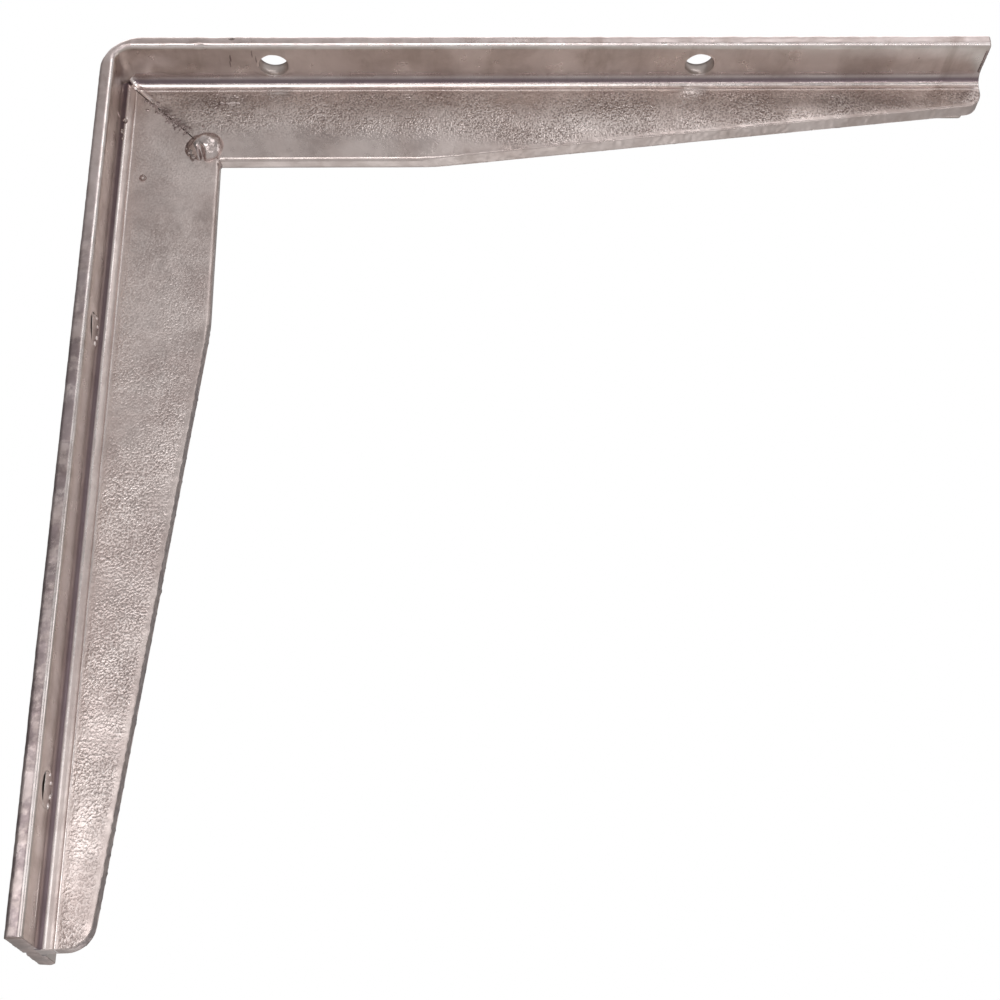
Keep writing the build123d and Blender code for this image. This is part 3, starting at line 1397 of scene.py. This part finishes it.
@dataclass(frozen=True)
class Studio:
    """Plain pale floor, plain soft light and a white surround."""

    lights: tuple[Softbox, ...]
    surround: tuple[tuple[float, float], ...]
    dim_side: tuple[float, float, float] = (-0.95, -0.35, 0.45)
    floor_level: float = -0.9
    floor_half: float = 40.0

    def build(self, target: Vector) -> None:
        """Builds the floor, the lights and the surround."""
        for light in self.lights:
            light.build(target)
        self.build_floor()
        self.build_surround()

    def build_floor(self) -> None:
        """Lays the floor."""
        bm = bmesh.new()
        place = Matrix.Translation((0, 0, self.floor_level))
        bmesh.ops.create_grid(bm, x_segments=1, y_segments=1, size=self.floor_half, matrix=place)
        shader = Shader("floor_paint")
        colour = shader.blend(shader.noise(0.6, 2.0), (0.80, 0.79, 0.785), (0.84, 0.83, 0.825))
        floor = to_object(bm, "floor", [shader.finish(colour, 0.8, metallic=0.0)])
        floor.visible_glossy = False

    def build_surround(self) -> None:
        """Lights the scene softly from all round, and shows the camera white."""
        world = bpy.data.worlds.new("surround")
        bpy.context.scene.world = world
        world.use_nodes = True
        tree = world.node_tree
        tree.nodes.clear()
        direction = tree.nodes.new("ShaderNodeTexCoord").outputs["Generated"]
        split = tree.nodes.new("ShaderNodeSeparateXYZ")
        tree.links.new(direction, split.inputs["Vector"])
        half = tree.nodes.new("ShaderNodeMath")
        half.operation = "MULTIPLY_ADD"
        half.inputs[1].default_value = half.inputs[2].default_value = 0.5
        tree.links.new(split.outputs["Z"], half.inputs[0])
        ramp = tree.nodes.new("ShaderNodeValToRGB")
        stops = ramp.color_ramp.elements
        while len(stops) < len(self.surround):
            stops.new(0.5)
        for stop, (elevation, glow) in zip(stops, self.surround):
            stop.position = math.sin(math.radians(elevation)) / 2 + 0.5
            stop.color = (glow, glow * 0.99, glow * 0.98, 1.0)
        tree.links.new(half.outputs["Value"], ramp.inputs["Fac"])
        lit = tree.nodes.new("ShaderNodeBackground")
        tree.links.new(ramp.outputs["Color"], lit.inputs["Color"])
        side = tree.nodes.new("ShaderNodeMapRange")
        side.interpolation_type = "SMOOTHSTEP"
        for name, number in zip(("From Min", "From Max", "To Min"), self.dim_side):
            side.inputs[name].default_value = number
        tree.links.new(split.outputs["X"], side.inputs["Value"])
        tree.links.new(side.outputs["Result"], lit.inputs["Strength"])
        seen = tree.nodes.new("ShaderNodeBackground")
        seen.inputs["Color"].default_value = (1.0, 1.0, 1.0, 1.0)
        path = tree.nodes.new("ShaderNodeLightPath")
        mix = tree.nodes.new("ShaderNodeMixShader")
        output = tree.nodes.new("ShaderNodeOutputWorld")
        tree.links.new(path.outputs["Is Camera Ray"], mix.inputs["Fac"])
        tree.links.new(lit.outputs["Background"], mix.inputs[1])
        tree.links.new(seen.outputs["Background"], mix.inputs[2])
        tree.links.new(mix.outputs["Shader"], output.inputs["Surface"])


@dataclass(frozen=True)
class Viewpoint:
    """A camera low in front of the bracket, looking up at the inside of the corner."""

    place: Vector = Vector((0.115281, -0.434905, -0.223441))
    target: Vector = Vector((0.133125, 0.0, -0.010035))
    lens: float = 56.062
    roll: float = math.radians(-1.742892)

    def build(self) -> None:
        """Sets up the camera."""
        data = bpy.data.cameras.new("camera")
        data.lens = self.lens
        data.sensor_width = 36.0
        data.clip_start, data.clip_end = 0.01, 200.0
        camera = bpy.data.objects.new("camera", data)
        forward = (self.target - self.place).normalized()
        level = Vector((forward.y, -forward.x, 0)).normalized()
        above = level.cross(forward)
        right = level * math.cos(self.roll) + above * math.sin(self.roll)
        up = right.cross(forward)
        turn = Matrix((right, up, -forward)).transposed()
        camera.matrix_world = Matrix.Translation(self.place) @ turn.to_4x4()
        bpy.context.scene.collection.objects.link(camera)
        bpy.context.scene.camera = camera


# ---- the bracket -------------------------------------------------------------------------------


@dataclass
class Bracket:
    """The whole bracket, made from its sub-assemblies."""

    low: Vector
    high: Vector
    weld_low: Vector
    weld_high: Vector
    record: dict
    section: Section = field(default_factory=Section)

    def build(self) -> None:
        """Builds every piece and ties it to the frame."""
        holes = punched_holes(self.record)
        nicks = (
            Vector((33.5 * MM, self.low.y, self.high.z - 5 * MM)),
            Vector((0.4 * MM, 3.0 * MM, self.low.z)),
        )
        flange = Flange(self.section, self.low, self.high, holes, nicks=nicks)
        self.tie(flange.build(), "galvanised_bar", "bent_t_bar")
        for web in self.webs():
            skin = web.build(self.low, self.high, holes)
            self.tie(skin, "galvanised_bar", "bent_t_bar")
        middle = (self.weld_low + self.weld_high) / 2
        weld = TackWeld(Vector((middle.x, 0, middle.z)), self.section.half_web)
        self.tie(weld.build(), "galvanised_weld", "corner_weld")
        for marks in self.zinc_marks():
            piece = marks.build(self.low, self.high)
            self.tie(piece, "galvanised_bar")

    def on_shelf_web(self, along: float, depth: float, proud: float = 0.0) -> Vector:
        """Gives a place on the front of the shelf arm's web."""
        y = -self.section.surface(depth) - proud
        return Vector((along, y, self.high.z - depth))

    def on_wall_web(self, along: float, depth: float, proud: float = 0.0) -> Vector:
        """Gives a place on the front of the wall arm's web."""
        y = -self.section.surface(depth) - proud
        return Vector((depth, y, self.high.z - along))

    def zinc_marks(self) -> list[ZincMarks]:
        """Gives the frozen pimples, runs and burrs of the zinc, the seam's filling among them."""
        return [self.pimples(), self.runs(), self.seam(), self.burrs()]

    def pimples(self) -> ZincMarks:
        """Gives the pimples on the webs and the root fillets."""
        marks = ZincMarks("zinc_pimples", PIMPLE_ZINC)
        small = (1.25 * MM, 1.0 * MM, 1.2 * MM)
        marks.blobs = [
            Blob(self.on_wall_web(23.5 * MM, 6.4 * MM, 0.1 * MM), (1.0 * MM, 0.9 * MM, 1.0 * MM)),
            Blob(self.on_wall_web(47.6 * MM, 14.3 * MM, 0.1 * MM), small),
            Blob(self.on_shelf_web(39.6 * MM, 15.2 * MM), (1.4 * MM, 1.0 * MM, 0.9 * MM)),
            Blob(
                self.on_shelf_web(37.6 * MM, 17.0 * MM, -0.1 * MM),
                (1.2 * MM, 0.6 * MM, 0.5 * MM),
                -0.8,
            ),
            Blob(self.on_wall_web(28.5 * MM, 5.9 * MM), (0.7 * MM, 0.7 * MM, 1.2 * MM)),
            Blob(self.on_wall_web(31.5 * MM, 6.2 * MM), (0.5 * MM, 0.5 * MM, 0.8 * MM)),
            Blob(self.on_shelf_web(33.6 * MM, 25.2 * MM), (0.6 * MM, 0.45 * MM, 0.5 * MM)),
        ]
        edge = Vector((44.5 * MM, self.low.y + 0.15 * MM, self.high.z - 1.7 * MM))
        marks.blobs.append(Blob(edge, (1.3 * MM, 0.12 * MM, 0.7 * MM)))
        inner = Vector((39.4 * MM, 0, self.high.z - 39.4 * MM))
        marks.blobs.append(Blob(inner, (1.2 * MM, 2.75 * MM, 1.1 * MM)))
        weld = Vector((34 * MM, -self.section.half_web, self.high.z - 34 * MM))
        for right, up, size in ((-4.6, -3.3, 0.9), (-3.2, -4.9, 1.1), (-5.6, -1.6, 0.6)):
            spot = weld + Vector((right * MM, -0.3 * MM, up * MM))
            marks.blobs.append(Blob(spot, (size * MM, 0.8 * MM, size * MM)))
        return marks

    def runs(self) -> ZincMarks:
        """Gives the pale ridges: along the mitre's start, beside pimples and under the flange."""
        marks = ZincMarks("zinc_runs", PALE_RUN_AND_HIGHLIGHT_ZINC)
        slant = math.radians(45)
        tongue = self.on_shelf_web(8.4 * MM, 7.9 * MM)
        marks.blobs.append(Blob(tongue, (1.5 * MM, 0.6 * MM, 0.8 * MM), slant))
        for along in (41.2, 42.6, 43.8, 45.0):
            spot = self.on_shelf_web(along * MM, 15.0 * MM)
            marks.blobs.append(Blob(spot, (0.8 * MM, 0.25 * MM, 0.22 * MM)))
        ridge = Vector((5.0 * MM, -6.4 * MM, self.high.z - 23.9 * MM))
        marks.blobs.append(Blob(ridge, (0.25 * MM, 2.6 * MM, 0.3 * MM)))
        for below in FRONT_HOLES_BELOW:
            for up, y, size in LIP_LUMPS:
                lip = Vector((self.section.flange, y * MM, self.high.z - below + up * MM))
                marks.blobs.append(Blob(lip, (0.5 * MM, size * MM, size * 1.2 * MM)))
        streak = Vector((5.0 * MM, -8.5 * MM, self.low.z + 13 * MM))
        marks.blobs.append(Blob(streak, (0.12 * MM, 0.3 * MM, 9 * MM), 0.0))
        return marks

    def seam(self) -> ZincMarks:
        """Gives the dark lumps that fill the notch between its open start and the weld."""
        chance = random.Random(SEED)
        marks = ZincMarks("seam_filling", SEAM_ZINC_AND_WELD_SHADE)
        for step in range(110):
            depth = (13.0 + 0.14 * step) * MM
            aside = chance.gauss(0.2, 0.8) * MM
            spot = self.on_shelf_web(depth + aside, depth - aside, -0.10 * MM)
            size = chance.uniform(0.3, 0.75) * MM
            slant = math.radians(chance.uniform(0, 180))
            marks.blobs.append(Blob(spot, (size * 1.2, 0.24 * MM, size * 0.8), slant))
        return marks

    def burrs(self) -> ZincMarks:
        """Gives the dark burrs along the cut ends of the flange and the sheared edges."""
        chance = random.Random(SEED + 1)
        marks = ZincMarks("shear_burrs", SEAM_ZINC_AND_WELD_SHADE)
        for step in range(16):
            y = (-16.5 + 0.66 * step + chance.uniform(-0.2, 0.2)) * MM
            size = chance.uniform(0.35, 0.75) * MM
            spot = Vector((self.high.x - 0.75 * MM, y, self.high.z - self.section.flange))
            marks.blobs.append(Blob(spot, (0.55 * MM, size, 0.35 * MM)))
        for step in range(10):
            y = (-6.0 + 1.2 * step + chance.uniform(-0.3, 0.3)) * MM
            spot = Vector((4.6 * MM, -abs(y) - 7 * MM, self.low.z + 0.8 * MM))
            marks.blobs.append(Blob(spot, (0.35 * MM, 0.5 * MM, 0.45 * MM)))
        for along, y, wide, long in (
            (43.4, -14.0, 0.30, 1.8),
            (43.0, -11.2, 0.20, 1.6),
            (51.0, -16.2, 0.16, 1.9),
            (52.2, -12.6, 0.18, 2.4),
            (52.6, -8.4, 0.18, 2.4),
        ):
            spot = Vector((along * MM, y * MM, self.high.z - 5.02 * MM))
            marks.blobs.append(Blob(spot, (wide * MM, long * MM, 0.12 * MM)))
        return marks

    def webs(self) -> list[Web]:
        """Gives the two webs with their sizes."""
        shelf = Web(
            Arm.SHELF,
            self.section,
            length=self.high.x,
            taper_start=110 * MM,
            end_height=16.8 * MM,
            tip_radius=6 * MM,
            mitre_shift=0.28 * MM,
            mitre_round=0.7 * MM,
            pebble=(0.95, 1.05),
            shear_rag=0.22 * MM,
            front_roll=0.5 * MM,
            root_highlight_band=(2.8 * MM, 3.05 * MM),
        )
        wall = Web(
            Arm.WALL,
            self.section,
            length=self.high.z - self.low.z,
            taper_start=105 * MM,
            end_height=18.5 * MM,
            tip_radius=7.5 * MM,
            mitre_shift=0.28 * MM,
            mitre_round=0.35 * MM,
            pebble=(0.50, 1.25),
            shear_rag=0.42 * MM,
            front_roll=0.6 * MM,
            root_highlight_band=(3.0 * MM, 3.4 * MM),
        )
        return [shelf, wall]

    @staticmethod
    def tie(piece: bpy.types.Object, slot: str, node: str | None = None) -> None:
        """Rides a piece on the bracket and hides the node that it stands for."""
        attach(piece, "root")
        if node:
            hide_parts(node)


STUDIO = Studio(
    lights=(
        Softbox("front_low", azimuth=-13, elevation=3, width=1.7, height=0.8, glow=2.1),
        Softbox("front_right", azimuth=36, elevation=8, width=1.4, height=0.8, glow=0.9),
        Softbox("front_high", azimuth=26, elevation=42, width=1.3, height=0.7, glow=1.1),
        Softbox("low_strip", 20, -20, width=1.3, height=0.1, glow=3.4, distance=1.2),
        Softbox("right_side", azimuth=80, elevation=10, width=0.8, height=1.4, glow=0.9),
        Softbox("overhead", azimuth=170, elevation=72, width=2.4, height=2.4, glow=1.3),
        Softbox("behind_low", 175, -40, width=0.74, height=0.42, glow=0.6, distance=1.1),
    ),
    surround=((-90, 0.56), (-50, 0.56), (-28, 0.50), (10, 0.36), (42, 0.42), (90, 0.8)),
)


def main() -> None:
    """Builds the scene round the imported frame."""
    logging.basicConfig(level=logging.INFO, format="%(name)s: %(message)s")
    random.seed(SEED)
    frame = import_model()
    scene = bpy.context.scene
    scene.view_settings.view_transform = "Standard"
    Viewpoint().build()
    low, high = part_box("bent_t_bar")
    weld_low, weld_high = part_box("corner_weld")
    Bracket(low, high, weld_low, weld_high, frame["record"]).build()
    STUDIO.build((low + high) / 2)


if __name__ == "__main__":
    main()
